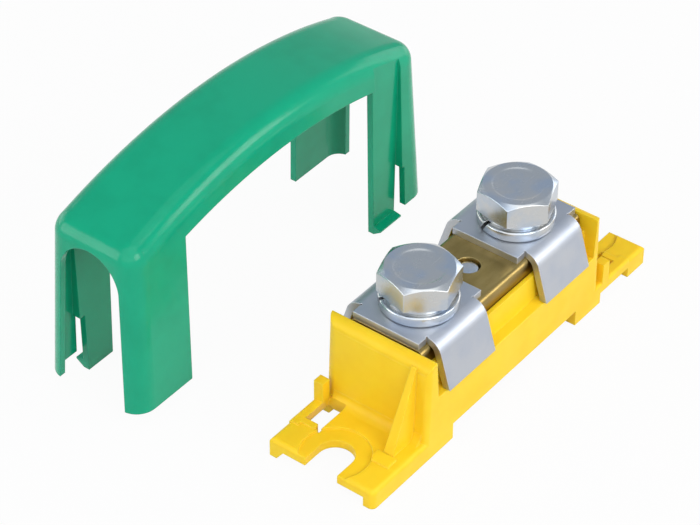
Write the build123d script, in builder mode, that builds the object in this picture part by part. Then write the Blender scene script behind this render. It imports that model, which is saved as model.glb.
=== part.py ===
from build123d import *

import os
from math import cos, radians, sin, sqrt, tan

os.makedirs("parts", exist_ok=True)

# Two-pole power terminal block with its clip-on cover, in millimetres.
# The origin is on the underside of the base, at the middle of its footprint.
# X runs along the block, the mounting rail passes under it along Y, and Z is up.
# Base and cover are unchanged by half a turn about their own vertical axes, so
# each end is modelled at +X and then turned to make the other one.

# Base housing, one moulding
base_length = 78.5
base_width = 21.0
rail_width = 35.0
rail_clearance = 0.6
rail_depth = 3.2
block_length = 51.0
wall_height = 19.7
wall_thickness = 2.0
wall_lean = 0.7
wall_top_round = 1.8
ledge_height = 12.0
pedestal_height = 16.6
pedestal_spread = 0.5
lip_thickness = 0.8
catch_corner_radius = 2.3
plain_corner_radius = 1.0
edge_round = 0.5

# Feet of the base
sole_height = 1.85
pad_height = 3.8
frame_height = 4.1
pad_edge_round = 0.8
cove_radius = 1.8
plain_toe_width = 2.05
catch_toe_width = 1.4
catch_toe_spread = 1.35
catch_toe_length = 5.05
mounting_screw_size = 6.0
mounting_slot_clearance = 0.5
mounting_pitch = 71.0
mounting_seat_diameter = 12.0
mounting_seat_depth = 0.4
hollow_inset = 2.0
ridge_width = 1.2
ridge_inner_y = 5.9
ridge_outer_y = 9.8
stop_length = 2.5
stop_inner_y = 5.1
stop_outer_y = 8.9

# Catch arm on one side of each foot
arm_underside = 2.1
arm_width = 1.85
arm_undercut = 0.3
ear_gap = 0.4
ear_length = 1.8
ear_height = 8.0

# Rib that stiffens each end wall on the plain side of its foot
rib_reach = 5.4
rib_top = 18.7
rib_outer_y = 7.95
rib_foot_thickness = 2.0
rib_tip_thickness = 1.0
rib_tip_reach = 0.15

# Contact bar
bar_length = 44.6
bar_width = 14.3
bar_thickness = 5.0
bar_below_wall = 0.1
bar_clearance = 0.1
bar_edge_round = 1.0
bar_end_margin = 8.65

# Clamp saddles, bent from sheet
sheet_thickness = 1.3
saddle_shift = 0.35
saddle_bend_radius = 1.7
saddle_bend_start = 6.55
saddle_leg_angle = 16.7
saddle_leg_width = 12.6
saddle_leg_gap = 0.1
saddle_tongue_length = 17.0
saddle_relief_radius = 0.2

# Hexagon bolts and spring washers
bolt_size = 8.0
bolt_length = 16.0
bolt_across_flats = 12.2
bolt_head_height = 5.4
bolt_face_diameter = 11.6
bolt_face_height = 0.7
bolt_under_angle = 15.0
bolt_chamfer_angle = 30.0
bolt_crown_share = 0.95
bolt_dish_diameter = 8.6
bolt_dish_depth = 0.2
bolt_tip_chamfer = 0.8
bolt_hole_clearance = 1.0
bolt_well_spare = 0.9
thread_clearance = 0.1
washer_outer = 13.4
washer_inner = 8.2
washer_thickness = 2.0
washer_edge_chamfer = 0.3
washer_split = 0.9
washer_split_slant = 25.0
front_head_turn = 15.3
rear_head_turn = 20.5
front_split_angle = 137.0
rear_split_angle = 159.0

# Screw that holds the bar, driven in from the underside of the base
bar_screw_size = 4.0
bar_screw_length = 12.0
bar_screw_head_diameter = 7.0
bar_screw_head_height = 2.6
bar_screw_slot_width = 1.2
bar_screw_slot_depth = 1.1
bar_screw_clearance = 0.2
bar_screw_sunk = 0.6
bar_screw_tip_chamfer = 0.3

# Cover, one moulding
cover_gap = 0.1
cover_wall = 1.2
cover_shoulder = 30.7
cover_rise = 7.4
cover_corner_radius = 3.8
cover_edge_radius = 3.6
cover_end_lean = 0.05
cover_side_lean = 0.04
side_arch_width = 52.0
side_arch_height = 28.8
side_arch_lean = 0.038
end_mouth_width = 14.2
end_mouth_height = 29.2
end_mouth_head_radius = 6.2

# Latches of the cover
latch_width = 6.1
latch_slit = 0.6
latch_slit_height = 8.5
latch_top = 31.2
latch_top_inset = 0.5
latch_inset = 2.14
latch_slot_clearance = 0.1
latch_slot_inner_y = 5.2
latch_slot_relief = 0.9
hook_drop = 3.5
hook_reach = 1.6
hook_tip_height = 1.1
hook_tip_thickness = 0.3
hook_catch_gap = 0.1

# Where the cover stands, taken off and set down beside the block
cover_shift = -9.73
cover_distance = 19.2

# Values worked out from the sizes above
half_length = base_length / 2
half_width = base_width / 2
half_block = block_length / 2
pole_x = bar_length / 2 - bar_end_margin
bar_bottom = wall_height - bar_below_wall - bar_thickness
bar_top = bar_bottom + bar_thickness
saddle_top = bar_top + sheet_thickness
washer_top = saddle_top + washer_thickness
bolt_tip = washer_top - bolt_length
wall_slope = wall_lean / wall_height
wall_inner_top = half_block - wall_lean - wall_thickness
wall_inner_bar = bar_length / 2 + bar_clearance
wall_inner_slope = (wall_inner_top - wall_inner_bar) / (wall_height - bar_bottom)
pocket_width = bar_width + 2 * bar_clearance
latch_inner_x = side_arch_width / 2
latch_outer_x = latch_inner_x + latch_width
bar_screw_seat = bar_top - bar_screw_sunk - bar_screw_length


def wall_inner_x(height):
    """Where the inner face of an end wall stands at a height, as it opens towards the top."""
    return wall_inner_top - wall_inner_slope * (wall_height - height)


def block_outline(lean):
    """Plan of the block with its end walls, drawn in at both ends by the lean."""
    half = half_block - lean
    with BuildSketch() as outline:
        Rectangle(2 * half, base_width)
        fillet([v for v in outline.vertices() if v.X * v.Y < 0], catch_corner_radius)
        square = [v for v in outline.vertices() if abs(v.X) + abs(v.Y) > half + half_width - edge_round]
        fillet(square, plain_corner_radius)
    return outline.sketch


def strip_along_x(points, start, end):
    """A closed outline in the YZ plane, carried along X from start to end."""
    with BuildPart() as strip:
        with BuildSketch(Plane.YZ.offset(start)):
            Polygon(*points, align=None)
        extrude(amount=end - start)
    return strip.part


def strip_along_y(points, start, end):
    """A closed outline in the XZ plane, carried along Y from start to end."""
    with BuildPart() as strip:
        with BuildSketch(Plane.XZ.offset(-end)):
            Polygon(*points, align=None)
        extrude(amount=end - start)
    return strip.part


def foot_plate():
    """The foot at +X: pad, toes, catch arm at -Y with its ear, ridge and stop."""
    root_x = half_block - catch_corner_radius - edge_round
    arm_x = half_length - catch_toe_length
    slot_x = latch_outer_x + latch_slot_clearance
    arm_y = half_width - arm_width
    with BuildPart() as foot:
        with BuildSketch() as plan:
            with Locations(((root_x + half_length) / 2, 0)):
                Rectangle(half_length - root_x, base_width)
            fillet(plan.vertices().group_by(Axis.X)[-1].sort_by(Axis.Y)[-1], plain_corner_radius)
        extrude(amount=pad_height)
        rim = [e for e in foot.edges().group_by(Axis.Z)[-1] if e.center().X > root_x + edge_round]
        fillet(rim, pad_edge_round)
        # Raised rim along the catch arm, ridge across the slot's end, and stop on the plain side
        raised = [
            (root_x, arm_x, -half_width, -arm_y),
            (slot_x, slot_x + ridge_width, -ridge_outer_y, -ridge_inner_y),
            (slot_x + ridge_width - stop_length, slot_x + ridge_width, stop_inner_y, stop_outer_y),
        ]
        for x_start, x_end, y_start, y_end in raised:
            with BuildSketch(Plane.XY.offset(sole_height)):
                with Locations(((x_start + x_end) / 2, (y_start + y_end) / 2)):
                    Rectangle(x_end - x_start, y_end - y_start)
            extrude(amount=frame_height - sole_height)
        arm_rim = foot.edges().filter_by(Axis.X).group_by(Axis.Z)[-1].sort_by(Axis.Y)[0]
        fillet(arm_rim, edge_round)
        # Ear that stands on the arm, just clear of the end wall
        with BuildSketch(Plane.XY.offset(sole_height)):
            with Locations((half_block + ear_gap + ear_length / 2, -half_width + arm_width / 2)):
                Rectangle(ear_length, arm_width)
        extrude(amount=ear_height - sole_height)
        under_arm = [
            (-half_width - 1, 0),
            (-latch_slot_inner_y, 0),
            (-latch_slot_inner_y, arm_underside),
            (-half_width - 1, arm_underside),
        ]
        add(strip_along_x(under_arm, half_block, arm_x), mode=Mode.SUBTRACT)
        # Slot that takes the latch, its outer side undercut for the hook
        slot = [
            (-latch_slot_inner_y, 0),
            (-latch_slot_inner_y, frame_height),
            (-arm_y, frame_height),
            (-arm_y - arm_undercut, arm_underside),
            (-arm_y - arm_undercut, 0),
        ]
        slot_start = latch_inner_x - latch_slot_clearance
        add(strip_along_x(slot, slot_start, slot_x), mode=Mode.SUBTRACT)
        # Relief at the slot's inner corner, past the end of the ridge
        relief = [
            (-latch_slot_inner_y, 0),
            (-latch_slot_inner_y, frame_height),
            (-latch_slot_inner_y - latch_slot_relief, frame_height),
            (-latch_slot_inner_y - latch_slot_relief, 0),
        ]
        add(strip_along_x(relief, slot_start, slot_x + latch_slot_relief), mode=Mode.SUBTRACT)
        # Sunk seat and open slot for the mounting screw
        with BuildSketch(Plane.XY.offset(pad_height - mounting_seat_depth)):
            with Locations((mounting_pitch / 2, 0)):
                Circle(mounting_seat_diameter / 2)
        extrude(amount=frame_height, mode=Mode.SUBTRACT)
        slot_width = mounting_screw_size + mounting_slot_clearance
        with BuildSketch():
            with Locations((mounting_pitch / 2, 0)):
                Circle(slot_width / 2)
                Rectangle(half_length, slot_width, align=(Align.MIN, Align.CENTER))
        extrude(amount=frame_height, mode=Mode.SUBTRACT)
    return foot.part


def foot_hollow():
    """The hollow under the foot at +X, between its toes and on towards the rail."""
    section = [
        (-(half_width - catch_toe_width), 0),
        (half_width - plain_toe_width, 0),
        (half_width - plain_toe_width, sole_height),
        (-(half_width - catch_toe_width - catch_toe_spread), sole_height),
    ]
    return strip_along_x(section, (rail_width + rail_clearance) / 2 + hollow_inset, half_length + 1)


def wall_cove():
    """The concave round where the end wall at +X meets the pad."""
    foot_x = half_block - wall_slope * pad_height
    with BuildPart() as cove:
        with BuildSketch(Plane.XZ.offset(-(half_width - plain_corner_radius))):
            with BuildLine():
                Polyline(
                    (foot_x, pad_height + cove_radius),
                    (foot_x - edge_round, pad_height + cove_radius),
                    (foot_x - edge_round, sole_height),
                    (foot_x + cove_radius, sole_height),
                    (foot_x + cove_radius, pad_height),
                )
                CenterArc((foot_x + cove_radius, pad_height + cove_radius), cove_radius, 180, 90)
            make_face()
        extrude(amount=base_width - plain_corner_radius - catch_corner_radius)
    return cove.part


def wall_rib():
    """The tapered rib that runs from the foot at +X up the plain side of the end wall."""
    inside = 1.0
    with BuildPart() as rib:
        levels = [
            (sole_height, half_block + rib_reach * (1 + (pad_height - sole_height) / (rib_top - pad_height)),
             rib_foot_thickness),
            (rib_top, half_block - wall_slope * rib_top + rib_tip_reach, rib_tip_thickness),
        ]
        for height, toe_x, thickness in levels:
            with BuildSketch(Plane.XY.offset(height)):
                with Locations((half_block - inside, rib_outer_y)):
                    Rectangle(toe_x - half_block + inside, thickness, align=(Align.MIN, Align.MAX))
        loft()
    return rib.part


def wall_crest():
    """What the round along the top of the end wall at +X takes off."""
    outer_x = half_block - wall_lean
    centre = (outer_x - wall_top_round, wall_height - wall_top_round)
    with BuildPart() as crest:
        with BuildSketch(Plane.XZ):
            with BuildLine():
                CenterArc(centre, wall_top_round, 0, 90)
                Polyline(
                    (centre[0], wall_height),
                    (centre[0], wall_height + 1),
                    (outer_x + 1, wall_height + 1),
                    (outer_x + 1, centre[1]),
                    (outer_x, centre[1]),
                )
            make_face()
        extrude(amount=half_width + 1, both=True)
    return crest.part


with BuildPart() as base_housing:
    # Block with its end walls, drawn in towards the top
    with BuildSketch():
        add(block_outline(0))
    with BuildSketch(Plane.XY.offset(wall_height)):
        add(block_outline(wall_lean))
    loft(ruled=True)
    # Trough between the end walls, down to the ledges
    above = 1.0
    trough = [
        (-wall_inner_x(ledge_height), ledge_height),
        (wall_inner_x(ledge_height), ledge_height),
        (wall_inner_x(wall_height + above), wall_height + above),
        (-wall_inner_x(wall_height + above), wall_height + above),
    ]
    add(strip_along_y(trough, -half_width - 1, half_width + 1), mode=Mode.SUBTRACT)
    # Pedestal that carries the bar between two lips
    lip_half = pocket_width / 2 + lip_thickness
    pedestal = [
        (-lip_half - pedestal_spread, ledge_height),
        (lip_half + pedestal_spread, ledge_height),
        (lip_half, pedestal_height),
        (-lip_half, pedestal_height),
    ]
    pedestal_end = wall_inner_x(pedestal_height) + wall_thickness / 2
    add(strip_along_x(pedestal, -pedestal_end, pedestal_end))
    with BuildSketch(Plane.XY.offset(bar_bottom)):
        Rectangle(2 * wall_inner_bar, pocket_width)
    extrude(amount=bar_thickness, mode=Mode.SUBTRACT)
    # Feet, with the rounds and ribs that join them to the end walls
    for half_turn in (0, 180):
        add(wall_crest(), rotation=(0, 0, half_turn), mode=Mode.SUBTRACT)
        for piece in (foot_plate(), wall_cove(), wall_rib()):
            add(piece, rotation=(0, 0, half_turn))
        add(foot_hollow(), rotation=(0, 0, half_turn), mode=Mode.SUBTRACT)
    # The latch slots also pass through the coves
    slot_start = latch_inner_x - latch_slot_clearance
    slot_end = latch_outer_x + latch_slot_clearance
    slot_floor = [
        (-latch_slot_inner_y, 0),
        (-latch_slot_inner_y, pad_height + cove_radius),
        (-(half_width - arm_width), pad_height + cove_radius),
        (-(half_width - arm_width), 0),
    ]
    for half_turn in (0, 180):
        add(strip_along_x(slot_floor, slot_start, slot_end), rotation=(0, 0, half_turn), mode=Mode.SUBTRACT)
    # Seat for the rail across the underside
    with BuildSketch():
        Rectangle(rail_width + rail_clearance, base_width + 2)
    extrude(amount=rail_depth, mode=Mode.SUBTRACT)
    # Blind wells for the ends of the bolts
    with Locations((-pole_x, 0, bar_bottom), (pole_x, 0, bar_bottom)):
        Cylinder(
            (bolt_size + bolt_hole_clearance) / 2,
            bar_bottom - bolt_tip + bolt_well_spare,
            align=(Align.CENTER, Align.CENTER, Align.MAX),
            mode=Mode.SUBTRACT,
        )
    # Stepped hole from below for the screw of the bar
    with Locations((0, 0, bar_screw_seat)):
        Cylinder(
            bar_screw_head_diameter / 2 + bar_screw_clearance,
            bar_screw_seat,
            align=(Align.CENTER, Align.CENTER, Align.MAX),
            mode=Mode.SUBTRACT,
        )
        Cylinder(
            bar_screw_size / 2 + bar_screw_clearance,
            bar_bottom - bar_screw_seat,
            align=(Align.CENTER, Align.CENTER, Align.MIN),
            mode=Mode.SUBTRACT,
        )

base_housing.part.label = "base_housing"
export_step(base_housing.part, "parts/base_housing.step")


with BuildPart() as contact_bar:
    with BuildSketch(Plane.XY.offset(bar_bottom)):
        Rectangle(bar_length, bar_width)
    extrude(amount=bar_thickness)
    fillet(contact_bar.edges().filter_by(Axis.X), bar_edge_round)
    with BuildSketch(Plane.XY.offset(bar_bottom)):
        with Locations((-pole_x, 0), (pole_x, 0)):
            Circle(bolt_size / 2 + thread_clearance)
        Circle(bar_screw_size / 2 + thread_clearance)
    extrude(amount=bar_thickness, mode=Mode.SUBTRACT)

contact_bar.part.label = "contact_bar"
export_step(contact_bar.part, "parts/contact_bar.step")


def clamp_saddle(x):
    """A saddle of sheet over the bar at x: flat top with two tongues, and splayed legs."""
    bend = 90 - saddle_leg_angle
    outer_radius = saddle_bend_radius + sheet_thickness
    centre = (saddle_bend_start, bar_top - saddle_bend_radius)
    side = sin(radians(bend))
    down = cos(radians(bend))
    leg_slope = tan(radians(saddle_leg_angle))
    tip = ledge_height + saddle_leg_gap
    inner_root = (centre[0] + saddle_bend_radius * side, centre[1] + saddle_bend_radius * down)
    outer_root = (centre[0] + outer_radius * side, centre[1] + outer_radius * down)
    inner_tip = (inner_root[0] + (inner_root[1] - tip) * leg_slope, tip)
    outer_tip = (outer_root[0] + (outer_root[1] - tip) * leg_slope, tip)
    with BuildPart() as saddle:
        with BuildSketch(Plane.YZ.offset(x)):
            with BuildLine():
                Line((0, saddle_top), (0, bar_top))
                Line((0, bar_top), (saddle_bend_start, bar_top))
                CenterArc(centre, saddle_bend_radius, 90, -bend)
                Polyline(inner_root, inner_tip, outer_tip, outer_root)
                CenterArc(centre, outer_radius, 90 - bend, bend)
                Line((saddle_bend_start, saddle_top), (0, saddle_top))
            make_face()
            mirror(about=Plane.YZ)
        extrude(amount=saddle_leg_width / 2, both=True)
        with BuildSketch(Plane.XY.offset(bar_top)):
            with Locations((x, 0)):
                Rectangle(saddle_tongue_length, 2 * saddle_bend_start)
        extrude(amount=sheet_thickness)
        with BuildSketch(Plane.XY.offset(ledge_height)):
            with Locations((x, 0)):
                with GridLocations(saddle_leg_width, 2 * saddle_bend_start, 2, 2):
                    Circle(saddle_relief_radius)
                Circle((bolt_size + bolt_hole_clearance) / 2)
        extrude(amount=saddle_top - ledge_height, mode=Mode.SUBTRACT)
    return saddle.part.moved(Location((0, saddle_shift, 0)))


def spring_washer(x, split_angle):
    """A split ring pressed flat, its cut slanting through it at the given angle."""
    with BuildPart() as ring:
        with BuildSketch(Plane.XY.offset(saddle_top)):
            with Locations((x, 0)):
                Circle(washer_outer / 2)
                Circle(washer_inner / 2, mode=Mode.SUBTRACT)
        extrude(amount=washer_thickness)
        chamfer(ring.edges().filter_by(GeomType.CIRCLE), washer_edge_chamfer)
        middle = (x, 0, saddle_top + washer_thickness / 2)
        with Locations(Location(middle, (0, 0, split_angle))):
            Box(
                washer_outer,
                washer_split,
                2 * washer_thickness,
                rotation=(washer_split_slant, 0, 0),
                align=(Align.MIN, Align.CENTER, Align.CENTER),
                mode=Mode.SUBTRACT,
            )
    return ring.part


def hex_bolt(x, head_turn):
    """A bolt on the axis at x: chamfered hexagon head with a shallow dish, and its shank."""
    crown = bolt_across_flats / 2 * bolt_crown_share
    corner = bolt_across_flats / sqrt(3)
    axis = Axis((x, 0, 0), (0, 0, 1))
    head_top = washer_top + bolt_head_height
    outside = corner + 1
    shoulder = head_top - (outside - crown) * tan(radians(bolt_chamfer_angle))
    face_radius = bolt_face_diameter / 2
    face_top = washer_top + bolt_face_height
    underside = face_top + (outside - face_radius) * tan(radians(bolt_under_angle))
    with BuildPart() as bolt:
        with BuildSketch(Plane.XY.offset(washer_top)):
            with Locations((x, 0)):
                RegularPolygon(bolt_across_flats / 2, 6, major_radius=False, rotation=head_turn)
        extrude(amount=bolt_head_height)
        with BuildSketch(Plane.XZ):
            Polygon(
                (x, washer_top),
                (x + face_radius, washer_top),
                (x + face_radius, face_top),
                (x + outside, underside),
                (x + outside, shoulder),
                (x + crown, head_top),
                (x, head_top),
                align=None,
            )
        revolve(axis=axis, mode=Mode.INTERSECT)
        with BuildSketch(Plane.XY.offset(head_top - bolt_dish_depth)):
            with Locations((x, 0)):
                Circle(bolt_dish_diameter / 2)
        extrude(amount=bolt_dish_depth, taper=-45, mode=Mode.SUBTRACT)
        with BuildSketch(Plane.XY.offset(bolt_tip)):
            with Locations((x, 0)):
                Circle(bolt_size / 2)
        extrude(amount=bolt_length)
        chamfer(bolt.edges().group_by(Axis.Z)[0], bolt_tip_chamfer)
    return bolt.part


poles = [
    ("front", -pole_x, front_head_turn, front_split_angle),
    ("rear", pole_x, rear_head_turn, rear_split_angle),
]
for place, x, head_turn, split_angle in poles:
    saddle = clamp_saddle(x)
    saddle.label = "clamp_saddle_" + place
    export_step(saddle, "parts/" + saddle.label + ".step")
    washer = spring_washer(x, split_angle)
    washer.label = "spring_washer_" + place
    export_step(washer, "parts/" + washer.label + ".step")
    bolt = hex_bolt(x, head_turn)
    bolt.label = "hex_bolt_" + place
    export_step(bolt, "parts/" + bolt.label + ".step")


with BuildPart() as bar_screw:
    with BuildSketch(Plane.XY.offset(bar_screw_seat - bar_screw_head_height)):
        Circle(bar_screw_head_diameter / 2)
    extrude(amount=bar_screw_head_height)
    chamfer(bar_screw.edges().group_by(Axis.Z)[0], bar_screw_tip_chamfer)
    with BuildSketch(Plane.XY.offset(bar_screw_seat)):
        Circle(bar_screw_size / 2)
    extrude(amount=bar_screw_length)
    chamfer(bar_screw.edges().group_by(Axis.Z)[-1], bar_screw_tip_chamfer)
    with BuildSketch(Plane.XY.offset(bar_screw_seat - bar_screw_head_height)):
        Rectangle(bar_screw_head_diameter, bar_screw_slot_width)
    extrude(amount=bar_screw_slot_depth, mode=Mode.SUBTRACT)

bar_screw.part.label = "bar_screw"
export_step(bar_screw.part, "parts/bar_screw.step")


# The cover is drawn from the plane on which its four corner columns stand
cover_half_length = half_length - cover_gap
cover_half_width = half_width - cover_gap
cover_y = half_width + cover_distance + cover_half_width
cover_origin = Vector(cover_shift, cover_y, hook_drop)
cover_side = Plane(origin=cover_origin, x_dir=(1, 0, 0), z_dir=(0, -1, 0))
cover_end = Plane(origin=cover_origin, x_dir=(0, 1, 0), z_dir=(1, 0, 0))
top_radius = (cover_half_length ** 2 + cover_rise ** 2) / (2 * cover_rise)


def cover_half_width_at(height):
    """Half the cover's width at a height above its columns' feet."""
    return cover_half_width - cover_side_lean * height


def top_curve_drop(x):
    """How far the crown of the cover has come down at a distance from its middle."""
    return top_radius - sqrt(top_radius ** 2 - x ** 2)


def cover_form(inset):
    """The cover's closed form, or with an inset the hollow that leaves that wall."""
    low = -hook_drop - inset
    high = cover_shoulder + cover_rise + 1
    crown = cover_shoulder + cover_rise - inset
    reach = cover_half_length + 1
    with BuildPart() as form:
        for height in (low, high):
            with BuildSketch(Plane(origin=cover_origin + Vector(0, 0, height))):
                RectangleRounded(
                    2 * (cover_half_length - cover_end_lean * height - inset),
                    2 * (cover_half_width_at(height) - inset),
                    cover_corner_radius - inset,
                )
        loft(ruled=True)
        with BuildSketch(cover_side):
            with BuildLine():
                edge = crown - top_curve_drop(reach)
                ThreePointArc((-reach, edge), (0, crown), (reach, edge))
                Polyline((reach, edge), (reach, low), (-reach, low), (-reach, edge))
            make_face()
        extrude(amount=cover_half_width + 1, both=True, mode=Mode.INTERSECT)
        top = form.faces().sort_by(Axis.Z)[-1]
        fillet(top.edges(), cover_edge_radius - inset)
    return form.part


def latch_face(height):
    """How far out a latch's outer face stands at a height; its foot is set in further."""
    top_y = cover_half_width_at(latch_top) - latch_top_inset
    foot_y = cover_half_width_at(-hook_drop) - latch_inset
    return top_y + (foot_y - top_y) * (latch_top - height) / (latch_top + hook_drop)


def latch(depth):
    """The sprung panel at +X with its hook, leaning in below the shoulder on the -Y side."""
    bottom = -hook_drop
    top_y = latch_face(latch_top)
    foot_y = latch_face(bottom)
    catch = arm_underside - hook_catch_gap - pad_height
    panel = [
        (-top_y, latch_top),
        (-latch_face(catch), catch),
        (-foot_y - hook_reach, bottom + hook_tip_height + hook_tip_thickness),
        (-foot_y - hook_reach, bottom + hook_tip_height),
        (-foot_y, bottom),
        (-foot_y + depth, bottom),
        (-top_y + depth, latch_top),
    ]
    inner_x = latch_inner_x - side_arch_lean * side_arch_height
    start = Plane(origin=cover_origin + Vector(inner_x, 0, 0), x_dir=(0, 1, 0), z_dir=(1, 0, 0))
    with BuildPart() as spring:
        with BuildSketch(start):
            Polygon(*panel, align=None)
        extrude(amount=latch_outer_x - inner_x)
    return spring.part


def latch_web():
    """The step at +X that joins the latch to its corner column, above the slit."""
    outer_low = cover_half_width_at(latch_slit_height) - cover_wall / 2
    outer_top = cover_half_width_at(latch_top) - cover_wall / 2
    step = [
        (-outer_low, latch_slit_height),
        (-outer_top, latch_top),
        (-latch_face(latch_top) + cover_wall, latch_top),
        (-latch_face(latch_slit_height) + cover_wall, latch_slit_height),
    ]
    with BuildPart() as web:
        with BuildSketch(cover_end.offset(latch_outer_x)):
            Polygon(*step, align=None)
        extrude(amount=cover_wall)
    return web.part


def latch_window():
    """What leaves the side wall at +X, -Y: all outside the latch's face, and the slit beside its foot."""
    head = latch_top + cover_edge_radius
    inner_x = latch_inner_x - side_arch_lean * side_arch_height
    outside = [
        (-latch_face(-1), -1),
        (-latch_face(head), head),
        (-half_width - 1, head),
        (-half_width - 1, -1),
    ]
    slit_y = latch_face(0) - cover_wall
    with BuildPart() as window:
        with BuildSketch(cover_end.offset(inner_x)):
            Polygon(*outside, align=None)
        extrude(amount=latch_outer_x - inner_x)
        with BuildSketch(Plane(origin=cover_origin + Vector(0, 0, -1))):
            with Locations((latch_outer_x, -slit_y)):
                Rectangle(latch_slit, half_width, align=(Align.MIN, Align.MAX))
        extrude(amount=1 + latch_slit_height)
    return window.part


with BuildPart() as cover:
    add(cover_form(0))
    add(cover_form(cover_wall), mode=Mode.SUBTRACT)
    # Everything below the feet of the columns
    with BuildSketch(Plane(origin=cover_origin)):
        Rectangle(base_length + 2, base_width + 2)
    extrude(amount=-2 * hook_drop, mode=Mode.SUBTRACT)
    # The side wall gives way to a latch on one side of each end
    for half_turn in (0, 180):
        turn = Location(cover_origin, (0, 0, half_turn)) * Location(-cover_origin)
        add(latch_window().moved(turn), mode=Mode.SUBTRACT)
        add(latch(cover_wall).moved(turn))
        add(latch_web().moved(turn))
    # Long arch through both sides, drawn in upwards, its head parallel to the crown
    foot_arch = side_arch_width / 2 + side_arch_lean * 2 * hook_drop
    head_arch = side_arch_width / 2 - side_arch_lean * side_arch_height
    with BuildSketch(cover_side):
        with BuildLine():
            arch_crown = side_arch_height + top_curve_drop(head_arch)
            ThreePointArc((-head_arch, side_arch_height), (0, arch_crown), (head_arch, side_arch_height))
            Polyline(
                (head_arch, side_arch_height),
                (foot_arch, -2 * hook_drop),
                (-foot_arch, -2 * hook_drop),
                (-head_arch, side_arch_height),
            )
        make_face()
    extrude(amount=half_width + 1, both=True, mode=Mode.SUBTRACT)
    # Round-headed mouth through both ends, a little wider at the foot
    mouth_centre = end_mouth_height - end_mouth_head_radius
    with BuildSketch(cover_end):
        Polygon(
            (-end_mouth_width / 2, 0),
            (end_mouth_width / 2, 0),
            (end_mouth_head_radius, mouth_centre),
            (-end_mouth_head_radius, mouth_centre),
            align=None,
        )
        with Locations((0, mouth_centre)):
            Circle(end_mouth_head_radius)
    extrude(amount=half_length + 1, both=True, mode=Mode.SUBTRACT)

cover.part.label = "cover"
export_step(cover.part, "parts/cover.step")
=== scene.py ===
# %% [markdown]
# # Power terminal block
#
# A yellow moulded base carries a brass bar. Two zinc-plated saddles sit on the bar, and each is
# pressed down by a hexagon bolt with a split spring washer. A green clip-on cover stands beside it.
#
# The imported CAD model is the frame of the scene. Its pieces that already have the right shape stay,
# and get finishes here. The bolts and washers are made again as smooth surfaces, because soft edges
# and threads show on plated steel.

import math

import bmesh
import bpy
import numpy as np
from mathutils import Matrix, Vector


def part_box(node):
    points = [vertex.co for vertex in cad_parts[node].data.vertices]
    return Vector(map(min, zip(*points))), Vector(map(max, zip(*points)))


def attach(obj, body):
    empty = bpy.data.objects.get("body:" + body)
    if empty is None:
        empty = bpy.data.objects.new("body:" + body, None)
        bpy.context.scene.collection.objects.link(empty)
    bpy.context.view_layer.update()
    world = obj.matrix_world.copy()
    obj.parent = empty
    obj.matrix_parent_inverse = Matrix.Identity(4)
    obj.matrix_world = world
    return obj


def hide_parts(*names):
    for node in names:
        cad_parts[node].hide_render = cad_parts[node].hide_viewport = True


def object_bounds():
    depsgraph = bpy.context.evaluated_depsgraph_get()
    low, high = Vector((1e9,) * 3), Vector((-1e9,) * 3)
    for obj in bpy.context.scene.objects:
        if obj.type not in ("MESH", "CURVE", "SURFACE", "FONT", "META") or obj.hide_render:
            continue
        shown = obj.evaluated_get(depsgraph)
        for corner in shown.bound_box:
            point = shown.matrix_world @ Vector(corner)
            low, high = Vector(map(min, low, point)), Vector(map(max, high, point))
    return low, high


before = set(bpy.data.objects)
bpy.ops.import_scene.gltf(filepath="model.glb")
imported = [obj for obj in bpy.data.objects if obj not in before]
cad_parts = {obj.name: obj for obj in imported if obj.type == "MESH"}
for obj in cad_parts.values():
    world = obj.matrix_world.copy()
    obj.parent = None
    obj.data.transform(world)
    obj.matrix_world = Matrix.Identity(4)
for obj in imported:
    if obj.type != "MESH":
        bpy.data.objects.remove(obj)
cad_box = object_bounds()
MM = 0.001
print("CAD pieces:", ", ".join(sorted(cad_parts)))

# %% [markdown]
# ## Shader maths as Python
#
# A finish is a sum of small effects: a base colour, a mottle, a wear mask. Wiring Math nodes by
# hand hides the sum, so a `Wire` wraps one output socket and overloads the operators, from both
# sides. `1 - mask * 0.3` then adds the Math nodes for itself. All other nodes come from
# `Finish.node`, which takes a node's type, its settings, and the values or links of its sockets.

# %% Wire and Finish
class Wire:
    """An output socket that can be used in arithmetic, which adds Math nodes to its tree."""

    def __init__(self, finish, socket):
        self.finish = finish
        self.socket = socket

    def math(self, operation, first, second):
        return self.finish.node("ShaderNodeMath", {"operation": operation}, {0: first, 1: second})

    def __add__(self, other):
        return self.math("ADD", self, other)

    def __radd__(self, other):
        return self.math("ADD", other, self)

    def __sub__(self, other):
        return self.math("SUBTRACT", self, other)

    def __rsub__(self, other):
        return self.math("SUBTRACT", other, self)

    def __mul__(self, other):
        return self.math("MULTIPLY", self, other)

    def __rmul__(self, other):
        return self.math("MULTIPLY", other, self)

    def clamp(self, low=0.0, high=1.0):
        return self.math("MINIMUM", self.math("MAXIMUM", self, low), high)

    def step(self, low, high):
        """0 below low, 1 above high and a smooth rise between them."""
        inputs = {"Value": self, "From Min": low, "From Max": high}
        return self.finish.node("ShaderNodeMapRange", {"interpolation_type": "SMOOTHSTEP"}, inputs)


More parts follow.
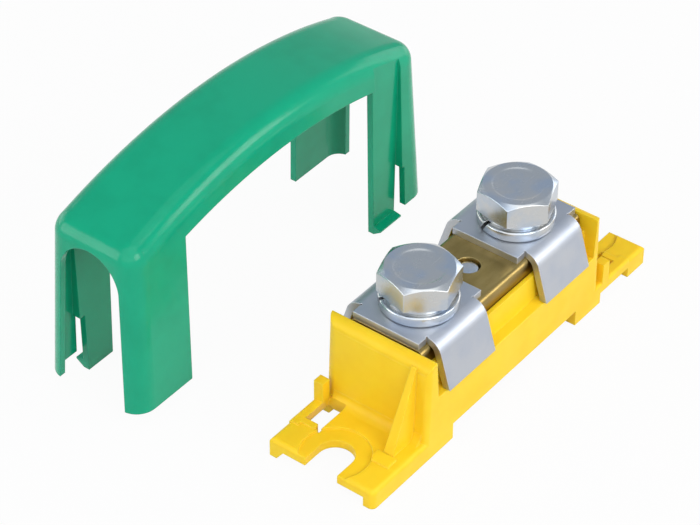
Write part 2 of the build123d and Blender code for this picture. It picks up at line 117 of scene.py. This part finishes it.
class Finish:
    """A node tree under construction, for a material or for the world."""

    def __init__(self, owner):
        owner.use_nodes = True
        self.owner = owner
        self.tree = owner.node_tree

    def node(self, kind, settings=None, inputs=None, output=0):
        made = self.tree.nodes.new(kind)
        for name, value in (settings or {}).items():
            if name == "stops":
                self.set_stops(made.color_ramp, value)
            else:
                setattr(made, name, value)
        self.fill(made, inputs or {})
        return Wire(self, made.outputs[output])

    def fill(self, made, inputs):
        for name, value in inputs.items():
            if isinstance(value, Wire):
                self.tree.links.new(value.socket, made.inputs[name])
            else:
                made.inputs[name].default_value = value

    def set_stops(self, ramp, stops):
        while len(ramp.elements) < len(stops):
            ramp.elements.new(0.5)
        for element, (position, colour) in zip(ramp.elements, stops):
            element.position = position
            element.color = (*colour, 1)

    def blend(self, share, first, second):
        """A colour that goes from first to second as share goes from 0 to 1."""
        colours = [c if isinstance(c, Wire) else (*c, 1) for c in (first, second)]
        inputs = {0: share, 6: colours[0], 7: colours[1]}
        return self.node("ShaderNodeMix", {"data_type": "RGBA"}, inputs, 2)

    def place(self, stretch=(1, 1, 1), turn=0.0):
        """Object coordinates in metres, stretched along the axes and then turned about Z."""
        point = self.node("ShaderNodeTexCoord", output="Object")
        inputs = {"Vector": point, "Rotation": (0, 0, turn), "Scale": stretch}
        return self.node("ShaderNodeMapping", {}, inputs)

    def noise(self, grain, stretch=(1, 1, 1), detail=3.0, turn=0.0):
        """Smooth noise whose lumps are about one grain across, in metres, before the stretch."""
        where = self.place(stretch, turn=turn)
        inputs = {"Vector": where, "Scale": 1 / grain, "Detail": detail}
        return self.node("ShaderNodeTexNoise", {}, inputs)

    def scratches(self, width, length, turn, amount):
        """Fine straight lines: noise stretched far along X, and only its peaks kept."""
        lines = self.noise(width, (width / length, 1, 1), 2.0, turn)
        patch = self.noise(length, detail=1.0)
        return (lines + patch * 0.25).step(0.86 - amount, 0.92 - amount)

    def soft_edge(self, radius):
        """The normal as if every edge were rounded, and a mask that is 1 on those edges."""
        rounded = self.node("ShaderNodeBevel", {"samples": 6}, {"Radius": radius})
        flat = self.node("ShaderNodeNewGeometry", output="Normal")
        dot = {0: rounded, 1: flat}
        alike = self.node("ShaderNodeVectorMath", {"operation": "DOT_PRODUCT"}, dot, "Value")
        return rounded, 1 - alike.step(0.9, 0.998)

    def bump(self, height, depth, normal=None):
        """A normal pushed by a height from 0 to 1, where 1 stands for a depth in metres."""
        inputs = {"Height": height, "Distance": depth, "Strength": 1.0}
        if normal is not None:
            inputs["Normal"] = normal
        return self.node("ShaderNodeBump", {}, inputs)

    def principled(self, fixed, **linked):
        shader = self.tree.nodes["Principled BSDF"]
        names = {"colour": "Base Color", "roughness": "Roughness", "normal": "Normal"}
        self.fill(shader, fixed)
        self.fill(shader, {names[key]: wire for key, wire in linked.items()})
        return self.owner


def new_finish(name):
    return Finish(bpy.data.materials.new(name))


# %% [markdown]
# ## The two plastics
#
# Base and cover are injection moulded. Close up, such a surface is never one colour: it has a fine
# grain from the tool, slow waves where the melt cooled, paler edges and a few scuffs. The paler
# edges stand partly for rubbing and are partly a painted highlight along every edge. Each of these
# is one noise, scaled in metres, so it stays the right size however the piece is turned.

# %% Moulded plastic
def moulded_plastic(name, colour, deep, rub_and_highlight, gloss, scatter):
    """Base colour with slow waves towards a deeper one, paler edges that are partly rubbed wear and
    partly a painted highlight, scuffs and a fine grain.
    """
    finish = new_finish(name)
    waves = finish.noise(14 * MM, (1, 1, 1.6), 2.0)
    blotch = finish.noise(3.5 * MM, detail=4.0)
    grain = finish.noise(0.35 * MM, detail=2.0)
    scuff = finish.scratches(0.12 * MM, 6 * MM, 0.5, 0.10)
    handled = finish.noise(8 * MM, detail=3.0).step(0.45, 0.75)
    rounded, edge = finish.soft_edge(0.22 * MM)
    tone = finish.blend((waves * 0.6 + blotch * 0.4).step(0.38, 0.68), colour, deep)
    # Every edge painted paler: partly rubbed wear, partly a painted highlight along the edges.
    tone = finish.blend(edge * 0.35, tone, rub_and_highlight)
    tone = finish.blend(scuff * 0.02, tone, rub_and_highlight)
    rough = gloss + blotch * 0.06 + handled * 0.06 + scuff * 0.02
    relief = grain * 0.55 + waves * 0.45
    fixed = {"IOR": 1.46, "Specular IOR Level": 0.28, "Subsurface Weight": scatter}
    fixed["Subsurface Radius"] = (1.0, 0.6, 0.15)
    fixed["Subsurface Scale"] = 1.2 * MM
    normal = finish.bump(relief, 0.005 * MM, rounded)
    return finish.principled(fixed, colour=tone, roughness=rough, normal=normal)


# The last colour of each is paler: it paints the scuffs, and a highlight along every edge.
base_yellow = moulded_plastic(
    "base_yellow", (0.935, 0.64, 0.022), (0.90, 0.59, 0.016), (0.96, 0.75, 0.11), 0.38, 0.25)
cover_green = moulded_plastic(
    "cover_green", (0.004, 0.36, 0.195), (0.003, 0.325, 0.174), (0.03, 0.46, 0.28), 0.13, 0.04)
print("plastics:", base_yellow.name, cover_green.name)

# %% [markdown]
# ## Zinc plate and brass
#
# Bright zinc is close to a mirror, but the steel under it is rolled, stamped and tumbled. So its
# reflections are slightly broad and drift from place to place, with a faint blue tint where the
# passivation is thicker. The sheet of the saddles keeps its rolling lines and the forged bolts
# have small dents instead. The bar is drawn, so its lines all run lengthwise.

# %% Plated and drawn metal
def zinc_plate(name, colour, tint, grain_stretch, gloss, dents):
    """Metal whose colour drifts to a tint, with rolling lines, tiny dents and soft edges."""
    finish = new_finish(name)
    cloud = finish.noise(5 * MM, detail=3.0)
    haze = finish.noise(1.8 * MM, detail=3.0)
    lines = finish.noise(0.09 * MM, grain_stretch, 3.0)
    pits = finish.noise(0.5 * MM, detail=2.0).step(0.62, 0.80)
    marks = finish.scratches(0.06 * MM, 4 * MM, 1.1, 0.08)
    rounded, edge = finish.soft_edge(0.2 * MM)
    tone = finish.blend(cloud.step(0.40, 0.66), colour, tint)
    tone = finish.blend(edge * 0.4, tone, (0.78, 0.79, 0.80))
    tone = finish.blend(pits * 0.12, tone, (0.30, 0.32, 0.36))
    rough = gloss + haze * 0.12 + lines * 0.06 + marks * 0.02
    relief = lines * 0.15 + haze * 0.65 - pits * 0.12
    normal = finish.bump(relief, dents, rounded)
    fixed = {"Metallic": 1.0, "IOR": 1.5}
    return finish.principled(fixed, colour=tone, roughness=rough, normal=normal)


zinc_sheet = zinc_plate(
    "zinc_sheet", (0.50, 0.52, 0.56), (0.46, 0.49, 0.55), (0.08, 1, 1), 0.37, 0.004 * MM)
zinc_fastener = zinc_plate(
    "zinc_fastener", (0.57, 0.575, 0.57), (0.48, 0.54, 0.62), (1, 1, 1), 0.16, 0.014 * MM)


def drawn_brass(name, colour, tarnish, bright):
    """Metal with lines along X, where the bar was drawn, dull patches and brighter edges."""
    finish = new_finish(name)
    lines = finish.noise(0.05 * MM, (0.02, 1, 1), 3.0)
    cloud = finish.noise(2.5 * MM, (0.4, 1, 1), 4.0)
    spots = finish.noise(0.8 * MM, detail=3.0).step(0.60, 0.74)
    rounded, edge = finish.soft_edge(0.2 * MM)
    tone = finish.blend(cloud.step(0.35, 0.70), colour, tarnish)
    tone = finish.blend(lines * 0.25, tone, bright)
    tone = finish.blend(spots * 0.35, tone, tarnish)
    tone = finish.blend(edge * 0.7, tone, bright)
    rough = 0.26 + cloud * 0.12 + spots * 0.15
    normal = finish.bump(lines * 0.7 + cloud * 0.3, 0.004 * MM, rounded)
    return finish.principled({"Metallic": 1.0}, colour=tone, roughness=rough, normal=normal)


bar_brass = drawn_brass("bar_brass", (0.36, 0.255, 0.085), (0.26, 0.18, 0.052), (0.54, 0.41, 0.18))

finishes = {
    "base_housing": base_yellow,
    "cover": cover_green,
    "contact_bar": bar_brass,
    "clamp_saddle_front": zinc_sheet,
    "clamp_saddle_rear": zinc_sheet,
    "bar_screw": zinc_fastener,
}
for node_name, material in finishes.items():
    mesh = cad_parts[node_name].data
    mesh.materials.clear()
    mesh.materials.append(material)
print("finished CAD pieces:", len(finishes))

# %% [markdown]
# ## Surfaces from arrays
#
# Both new shapes are grids of points: rows along one parameter and columns round the other. The
# whole grid is worked out at once with numpy, and the quads join each point to its neighbours.

# %% Grid to mesh
def grid_object(name, points, material, caps=False):
    """A mesh from rows x columns x 3 points. Each row is a closed ring, and caps close the ends."""
    rows, columns = points.shape[:2]
    index = np.arange(rows * columns).reshape(rows, columns)
    after = np.roll(index, -1, axis=1)
    quads = np.stack([index[:-1], after[:-1], after[1:], index[1:]], axis=-1).reshape(-1, 4)
    faces = quads.tolist()
    if caps:
        faces.append(index[0, ::-1].tolist())
        faces.append(index[-1].tolist())
    mesh = bpy.data.meshes.new(name)
    mesh.from_pydata(points.reshape(-1, 3).tolist(), [], faces)
    form = bmesh.new()
    form.from_mesh(mesh)
    bmesh.ops.remove_doubles(form, verts=form.verts, dist=0.0005 * MM)
    bmesh.ops.recalc_face_normals(form, faces=form.faces)
    form.to_mesh(mesh)
    form.free()
    mesh.polygons.foreach_set("use_smooth", np.ones(len(mesh.polygons), bool))
    mesh.materials.append(material)
    piece = bpy.data.objects.new(name, mesh)
    bpy.context.scene.collection.objects.link(piece)
    return piece


def round_edges(piece, width, angle):
    """Rounds every edge that turns by more than the angle, in degrees."""
    bevel = piece.modifiers.new("soft edges", "BEVEL")
    bevel.width = width
    bevel.segments = 3
    bevel.limit_method = "ANGLE"
    bevel.angle_limit = math.radians(angle)
    bevel.harden_normals = True


# %% [markdown]
# ## Hexagon bolts
#
# A bolt could be lathed and then cut, but it is also one surface in polar form: at each height, a
# radius for each angle. The shank's radius carries the thread, which is a ridge that climbs one
# pitch in one turn. The head's radius is the hexagon's, and a cone trims its corners above and
# below, which leaves the arcs that every real bolt head has.

# %% Bolt surface
thread_pitch = 1.25 * MM
thread_depth = 0.68 * MM
per_side = 16


def hexagon_radius(angle, across_flats):
    """Half the width across flats, over the cosine of the angle from the nearest flat's middle."""
    sector = np.mod(angle, math.pi / 3) - math.pi / 6
    return across_flats / 2 / np.cos(sector)


def thread_radius(angle, height, radius):
    """Radius less a 60 degree groove that climbs with the angle, and a round crest and root."""
    turn = np.mod(height / thread_pitch - angle / (2 * math.pi), 1)
    ridge = np.clip(np.abs(2 * turn - 1) * 1.35 - 0.15, 0, 1)
    return radius - thread_depth * (1 - ridge)


def hex_bolt(name, node_name, turn):
    """The whole bolt as rows of rings, from the tip of the shank up to the dish in its head."""
    low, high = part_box(node_name)
    x = (low.x + high.x) / 2
    shank, length, flats, head = 4.0 * MM, 16.0 * MM, 12.2 * MM, 5.4 * MM
    tip_radius, tip_height, neck = 2.9 * MM, 0.8 * MM, 0.3 * MM
    face_height, under_slope, top_slope = 0.7 * MM, math.radians(15), math.radians(30)
    dish_rim, dish_floor, dish_depth = 4.55 * MM, 4.05 * MM, 0.2 * MM
    seat = high.z - head
    angle = np.linspace(0, 2 * math.pi, 6 * per_side, endpoint=False)
    corner = hexagon_radius(angle, flats)
    crown, face = 0.95 * flats / 2, 5.8 * MM
    ones = np.ones_like(angle)
    steps = int(length / thread_pitch * 12)
    rise = np.linspace(low.z + tip_height, seat - neck, steps)
    threaded = thread_radius(angle[None, :], rise[:, None], shank)
    rings = [(0 * ones, low.z), (tip_radius * ones, low.z)]
    rings += [(row, z) for row, z in zip(threaded, rise)]
    under = seat + face_height + (corner - face) * math.tan(under_slope)
    shoulder = high.z - (corner - crown) * math.tan(top_slope)
    rings += [
        (shank * ones, seat - 0.2 * MM),
        (shank * ones, seat),
        (face * ones, seat),
        (face * ones, seat + face_height),
        (corner, under),
        (corner, under + (shoulder - under) * 0.5),
        (corner, shoulder),
        (crown * ones, high.z),
        (dish_rim * ones, high.z),
        ((dish_rim + dish_floor) / 2 * ones, high.z - dish_depth / 2),
        (dish_floor * ones, high.z - dish_depth),
        (dish_floor / 2 * ones, high.z - dish_depth),
        (0 * ones, high.z - dish_depth),
    ]
    radius = np.array([ring[0] for ring in rings])
    height = np.array([ring[1] * ones for ring in rings])
    around = angle + math.radians(turn)
    points = [x + radius * np.cos(around), radius * np.sin(around), height]
    points = np.stack(points, axis=-1)
    piece = grid_object(name, points, zinc_fastener)
    round_edges(piece, width=0.14 * MM, angle=24)
    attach(piece, "root")
    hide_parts(node_name)
    print(name, len(piece.data.polygons), "faces")


hex_bolt("bolt_front", "hex_bolt_front", 15.3)
hex_bolt("bolt_rear", "hex_bolt_rear", 20.5)

# %% [markdown]
# ## Split washers
#
# A spring washer is a short length of rolled wire bent into a ring, with a slanted cut. Its section
# is a rounded block, so the sweep carries a superellipse round the ring. The angle of each point
# also shifts with its height, and that slants both ends of the cut.

# %% Washer surface
def split_washer(name, node_name, split, gap, slant):
    """A superellipse carried round the axis from one end of the cut to the other."""
    low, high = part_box(node_name)
    x, y = (low.x + high.x) / 2, (low.y + high.y) / 2
    outer, inner = (high.y - low.y) / 2, 4.1 * MM
    middle, half_wide = (outer + inner) / 2, (outer - inner) / 2
    half_high = (high.z - low.z) / 2
    section_points, ring_points = 40, 160
    turn = np.linspace(0, 2 * math.pi, section_points, endpoint=False)
    superellipse = 6
    power = 2 / superellipse
    across = half_wide * np.sign(np.cos(turn)) * np.abs(np.cos(turn)) ** power
    above = half_high * np.sign(np.sin(turn)) * np.abs(np.sin(turn)) ** power
    open_angle = gap / middle
    start = math.radians(split) + open_angle / 2
    sweep = np.linspace(start, start + 2 * math.pi - open_angle, ring_points)[:, None]
    lean = (above / half_high * math.tan(math.radians(slant)) * half_high / middle)[None, :]
    radius = (middle + across)[None, :]
    height = np.broadcast_to((low.z + high.z) / 2 + above, (ring_points, section_points))
    around = sweep + lean
    points = [x + radius * np.cos(around), y + radius * np.sin(around), height]
    points = np.stack(points, axis=-1)
    piece = grid_object(name, points, zinc_fastener, caps=True)
    round_edges(piece, width=0.10 * MM, angle=50)
    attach(piece, "root")
    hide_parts(node_name)
    print(name, len(piece.data.polygons), "faces")


split_gap, split_slant = 0.6 * MM, 25.0
split_washer("washer_front", "spring_washer_front", 137.0, split_gap, split_slant)
split_washer("washer_rear", "spring_washer_rear", 159.0, split_gap, split_slant)

# %% [markdown]
# ## Floor and background
#
# The object stands on a pale floor before a white background. The white comes from the floor's and
# the world's own colour, seen by the camera and in reflections, and not from stronger lamps, so the
# colours of the object stay as they were written. A share of the floor is still lit, and that share
# keeps the shadow under the pieces.

# %% Floor
def seen_directly(finish):
    """1 for rays from the camera and for rays by way of metal or glass, 0 for light that fills."""
    camera = finish.node("ShaderNodeLightPath", output="Is Camera Ray")
    glossy = finish.node("ShaderNodeLightPath", output="Is Glossy Ray")
    through = finish.node("ShaderNodeLightPath", output="Is Transmission Ray")
    return (camera + glossy + through).clamp()


floor_finish = new_finish("floor_paper")
paper = floor_finish.node("ShaderNodeBsdfDiffuse", {}, {"Color": (0.68, 0.68, 0.69, 1)})
white = floor_finish.node("ShaderNodeEmission", {}, {"Color": (1, 1, 1, 1), "Strength": 1.0})
white_share = 0.95
share = seen_directly(floor_finish) * white_share
floor_mix = floor_finish.node("ShaderNodeMixShader", {}, {0: share, 1: paper, 2: white})
floor_output = floor_finish.tree.nodes["Material Output"]
floor_finish.fill(floor_output, {"Surface": floor_mix})

reach = 3.0
floor_mesh = bpy.data.meshes.new("floor")
corners = [(-reach, -reach, 0), (reach, -reach, 0), (reach, reach, 0), (-reach, reach, 0)]
floor_mesh.from_pydata(corners, [], [(0, 1, 2, 3)])
floor_mesh.materials.append(floor_finish.owner)
floor = bpy.data.objects.new("floor", floor_mesh)
bpy.context.scene.collection.objects.link(floor)
print("floor:", 2 * reach, "m wide, white share", white_share)

# %% [markdown]
# ## Studio light
#
# Diffuse light is soft and even. Metal needs something to mirror, so the world is white at the
# horizon and falls to a cool grey overhead, as a tent of paper under a dark ceiling would look. The
# camera sees the same tent that the metal does. The small lamp on the right draws the bright line
# along rounded edges. The side lamp lights the near end, and puts the highlights on the washers and
# on the cover's near corner. The large one in front shapes without a line. Two weak ones stand
# behind, low and off to the side, where no top face mirrors them to the camera.

# %% World and lamps
world = bpy.data.worlds.new("studio")
bpy.context.scene.world = world
sky = Finish(world)
direction = sky.node("ShaderNodeTexCoord", output="Generated")
height = sky.node("ShaderNodeSeparateXYZ", {}, {0: direction}, "Z")
far_way = (0.79, 0.61, 0)
along = {0: direction, 1: far_way}
behind = sky.node("ShaderNodeVectorMath", {"operation": "DOT_PRODUCT"}, along, "Value")
near_side = sky.node("ShaderNodeValToRGB", {"stops": [
    (0.0, (1.0, 1.0, 1.0)),
    (0.35, (0.85, 0.88, 0.92)),
    (0.62, (0.50, 0.56, 0.64)),
    (1.0, (0.44, 0.50, 0.58)),
]}, {0: height.clamp()})
far_side = sky.node("ShaderNodeValToRGB", {"stops": [
    (0.0, (1.0, 1.0, 1.0)),
    (0.22, (0.50, 0.54, 0.60)),
    (0.62, (0.49, 0.55, 0.64)),
    (1.0, (0.44, 0.50, 0.58)),
]}, {0: height.clamp()})
tent = sky.blend(behind.step(0.1, 0.6), near_side, far_side)
fill_light = (0.20, 0.205, 0.22)
shown = sky.blend(seen_directly(sky), fill_light, tent)
sky.fill(world.node_tree.nodes["Background"], {"Color": shown, "Strength": 1.0})


def area_lamp(name, place, target, size, power, colour):
    """A square lamp at a place, in metres, turned to face the target."""
    lamp = bpy.data.lights.new(name, "AREA")
    lamp.shape = "SQUARE"
    lamp.size = size
    lamp.energy = power
    lamp.color = colour
    holder = bpy.data.objects.new(name, lamp)
    facing = (Vector(target) - Vector(place)).to_track_quat("-Z", "Y")
    holder.matrix_world = Matrix.Translation(place) @ facing.to_matrix().to_4x4()
    bpy.context.scene.collection.objects.link(holder)


middle = (cad_box[0] + cad_box[1]) / 2
lamps = [
    ("right_lamp", (0.30, -0.50, 0.30), 0.28, 1.3, (1.0, 0.99, 0.97)),
    ("side_lamp", (-0.16, -0.58, 0.30), 0.30, 1.35, (1.0, 1.0, 1.0)),
    ("front_lamp", (-0.44, -0.30, 0.54), 1.10, 4.0, (1.0, 1.0, 1.0)),
    ("left_lamp", (-0.48, 0.38, 0.22), 0.40, 1.4, (1.0, 1.0, 1.0)),
    ("back_lamp", (-0.06, 0.66, 0.14), 0.40, 0.9, (1.0, 1.0, 1.0)),
    ("far_end_lamp", (0.66, -0.14, 0.14), 0.40, 0.9, (1.0, 1.0, 1.0)),
    ("top_lamp", (0.05, -0.10, 0.70), 0.50, 0.5, (1.0, 1.0, 1.0)),
]
for name, offset, size, power, colour in lamps:
    area_lamp(name, middle + Vector(offset), middle, size, power, colour)
print("lamps:", len(lamps), "with", round(sum(lamp[3] for lamp in lamps), 2), "W in all")

# %% [markdown]
# ## Camera
#
# The photograph was taken with a long lens from above the near end. Its direction is given by an
# azimuth and an elevation, with a trace of roll, and the distance sets how fast sizes shrink.

# %% Camera
view_azimuth, view_elevation, view_roll = -52.654, 39.453, 0.4409
view_distance = 453.97 * MM
view_offset = (19.30 * MM, -15.57 * MM)
lens_length = 138.18

a, e, r = (math.radians(v) for v in (view_azimuth, view_elevation, view_roll))
back = Vector((math.sin(a) * math.cos(e), -math.cos(a) * math.cos(e), math.sin(e)))
right = Vector((math.cos(a), math.sin(a), 0))
up = back.cross(right)
right, up = right * math.cos(r) + up * math.sin(r), up * math.cos(r) - right * math.sin(r)
spot = back * view_distance - right * view_offset[0] - up * view_offset[1]
lens = bpy.data.cameras.new("photo_camera")
lens.sensor_width = 36.0
lens.lens = lens_length
lens.clip_start = 0.01
camera = bpy.data.objects.new("photo_camera", lens)
camera.matrix_world = Matrix.Translation(spot) @ Matrix((right, up, back)).transposed().to_4x4()
bpy.context.scene.collection.objects.link(camera)
bpy.context.scene.camera = camera
bpy.context.scene.view_settings.view_transform = "Standard"
print("camera:", round(view_distance / MM), "mm away, lens", lens_length, "mm")
